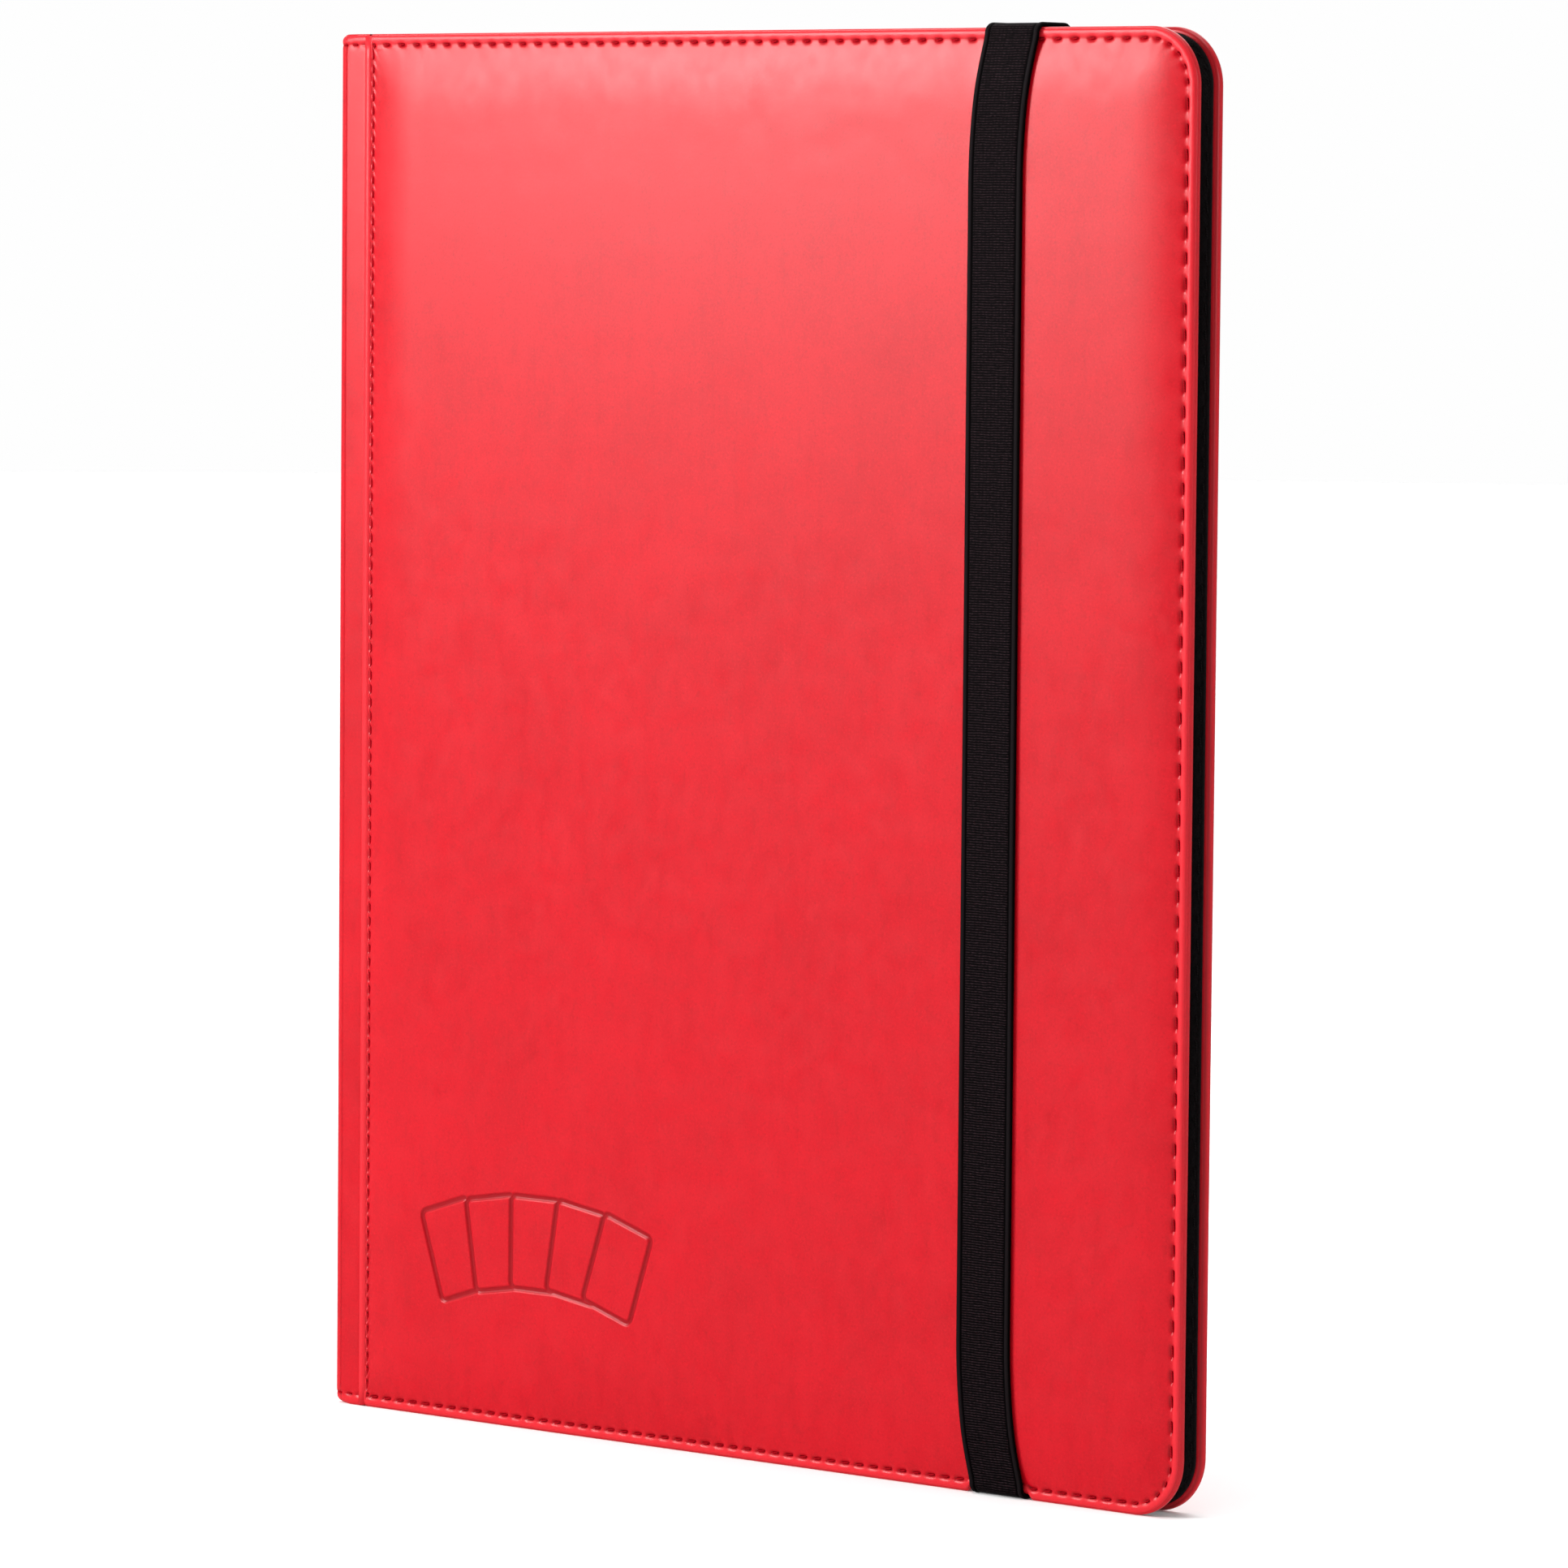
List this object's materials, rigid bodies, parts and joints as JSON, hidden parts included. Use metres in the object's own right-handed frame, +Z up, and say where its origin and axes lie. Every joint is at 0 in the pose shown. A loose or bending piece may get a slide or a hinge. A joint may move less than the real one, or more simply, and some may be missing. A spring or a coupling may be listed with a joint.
{
  "type": "trading card binder",
  "caption": "Padded red leather-look trading card binder with stitched covers, black pocket leaves on a flexible spine and a black elastic closing strap.",
  "frame": {"origin": "middle of the closed album's outline, on the plane that its covers' bottom edges stand on", "axes": "+X from the spine to the fore edge, the front cover faces -Y, +Z up along the spine"},
  "size_m": [0.264, 0.0154, 0.3411],
  "materials": {
    "red_leather": "smooth satin artificial leather with a very fine grain",
    "thread": "twisted sewing thread",
    "lining": "matt fine-grained lining cloth",
    "board": "pressed grey board",
    "foam": "soft padding",
    "leaf_film": "black backing sheet under clear pocket film",
    "binding": "matt",
    "elastic": "woven elastic tape with cross ribs and two raised edges"
  },
  "bodies": {
    "spine": {"spine_leather": "red_leather", "spine_lining": "lining", "spine_board": "board", "front_hinge_filler": "foam", "back_hinge_filler": "foam", "front_hinge_cloth": "lining", "back_hinge_cloth": "lining", "page_binding": "binding"},
    "front_cover": {"front_leather": "red_leather", "front_foam": "foam", "front_board": "board", "front_lining": "lining", "front_stitch_line": "thread"},
    "back_cover": {"back_leather": "red_leather", "back_foam": "foam", "back_board": "board", "back_lining": "lining", "back_stitch_line": "thread", "strap_end_top": "elastic", "strap_end_bottom": "elastic"},
    "strap": {"strap_front": "elastic", "strap_over_top": "elastic", "strap_over_bottom": "elastic"},
    "leaf_01": {"leaf_01": "leaf_film"},
    "leaf_02": {"leaf_02": "leaf_film"},
    "leaf_03": {"leaf_03": "leaf_film"},
    "leaf_04": {"leaf_04": "leaf_film"},
    "leaf_05": {"leaf_05": "leaf_film"},
    "leaf_06": {"leaf_06": "leaf_film"},
    "leaf_07": {"leaf_07": "leaf_film"},
    "leaf_08": {"leaf_08": "leaf_film"},
    "leaf_09": {"leaf_09": "leaf_film"},
    "leaf_10": {"leaf_10": "leaf_film"}
  },
  "joints": [
    {"name": "front_cover_hinge", "type": "hinge", "parent": "spine", "child": "front_cover", "pos_m": [-0.1216, -0.0053, 0.17], "axis": [0, 0, -1], "range_deg": [0, 90], "deforming": ["front_hinge_cloth"]},
    {"name": "back_cover_hinge", "type": "hinge", "parent": "spine", "child": "back_cover", "pos_m": [-0.1216, 0.0053, 0.17], "axis": [0, 0, 1], "range_deg": [0, 90], "deforming": ["back_hinge_cloth"]},
    {"name": "leaf_01_fold", "type": "hinge", "parent": "spine", "child": "leaf_01", "pos_m": [-0.1192, -0.00243, 0.17], "axis": [0, 0, -1], "range_deg": [0, 83]},
    {"name": "leaf_02_fold", "type": "hinge", "parent": "spine", "child": "leaf_02", "pos_m": [-0.11885, -0.00189, 0.17], "axis": [0, 0, -1], "range_deg": [0, 75.8]},
    {"name": "leaf_03_fold", "type": "hinge", "parent": "spine", "child": "leaf_03", "pos_m": [-0.1185, -0.00135, 0.17], "axis": [0, 0, -1], "range_deg": [0, 68.6]},
    {"name": "leaf_04_fold", "type": "hinge", "parent": "spine", "child": "leaf_04", "pos_m": [-0.11815, -0.00081, 0.17], "axis": [0, 0, -1], "range_deg": [0, 61.4]},
    {"name": "leaf_05_fold", "type": "hinge", "parent": "spine", "child": "leaf_05", "pos_m": [-0.1178, -0.00027, 0.17], "axis": [0, 0, -1], "range_deg": [0, 54.2]},
    {"name": "leaf_06_fold", "type": "hinge", "parent": "spine", "child": "leaf_06", "pos_m": [-0.1178, 0.00027, 0.17], "axis": [0, 0, 1], "range_deg": [0, 54.2]},
    {"name": "leaf_07_fold", "type": "hinge", "parent": "spine", "child": "leaf_07", "pos_m": [-0.11815, 0.00081, 0.17], "axis": [0, 0, 1], "range_deg": [0, 61.4]},
    {"name": "leaf_08_fold", "type": "hinge", "parent": "spine", "child": "leaf_08", "pos_m": [-0.1185, 0.00135, 0.17], "axis": [0, 0, 1], "range_deg": [0, 68.6]},
    {"name": "leaf_09_fold", "type": "hinge", "parent": "spine", "child": "leaf_09", "pos_m": [-0.11885, 0.00189, 0.17], "axis": [0, 0, 1], "range_deg": [0, 75.8]},
    {"name": "leaf_10_fold", "type": "hinge", "parent": "spine", "child": "leaf_10", "pos_m": [-0.1192, 0.00243, 0.17], "axis": [0, 0, 1], "range_deg": [0, 83]},
    {"name": "strap_release", "type": "slide", "parent": "back_cover", "child": "strap", "axis": [0, 1, 0], "range_m": [0, 0.0158], "deforming": ["strap_front", "strap_over_top", "strap_over_bottom"]}
  ],
  "couplings": [
    {"joint": "back_cover_hinge", "follows": "front_cover_hinge", "ratio": 1},
    {"joint": "leaf_01_fold", "follows": "front_cover_hinge", "ratio": 0.92},
    {"joint": "leaf_02_fold", "follows": "front_cover_hinge", "ratio": 0.84},
    {"joint": "leaf_03_fold", "follows": "front_cover_hinge", "ratio": 0.76},
    {"joint": "leaf_04_fold", "follows": "front_cover_hinge", "ratio": 0.68},
    {"joint": "leaf_05_fold", "follows": "front_cover_hinge", "ratio": 0.6},
    {"joint": "leaf_06_fold", "follows": "front_cover_hinge", "ratio": 0.6},
    {"joint": "leaf_07_fold", "follows": "front_cover_hinge", "ratio": 0.68},
    {"joint": "leaf_08_fold", "follows": "front_cover_hinge", "ratio": 0.76},
    {"joint": "leaf_09_fold", "follows": "front_cover_hinge", "ratio": 0.84},
    {"joint": "leaf_10_fold", "follows": "front_cover_hinge", "ratio": 0.92},
    {"joint": "strap_release", "follows": "front_cover_hinge", "m_per_rad": 0.00993}
  ]
}
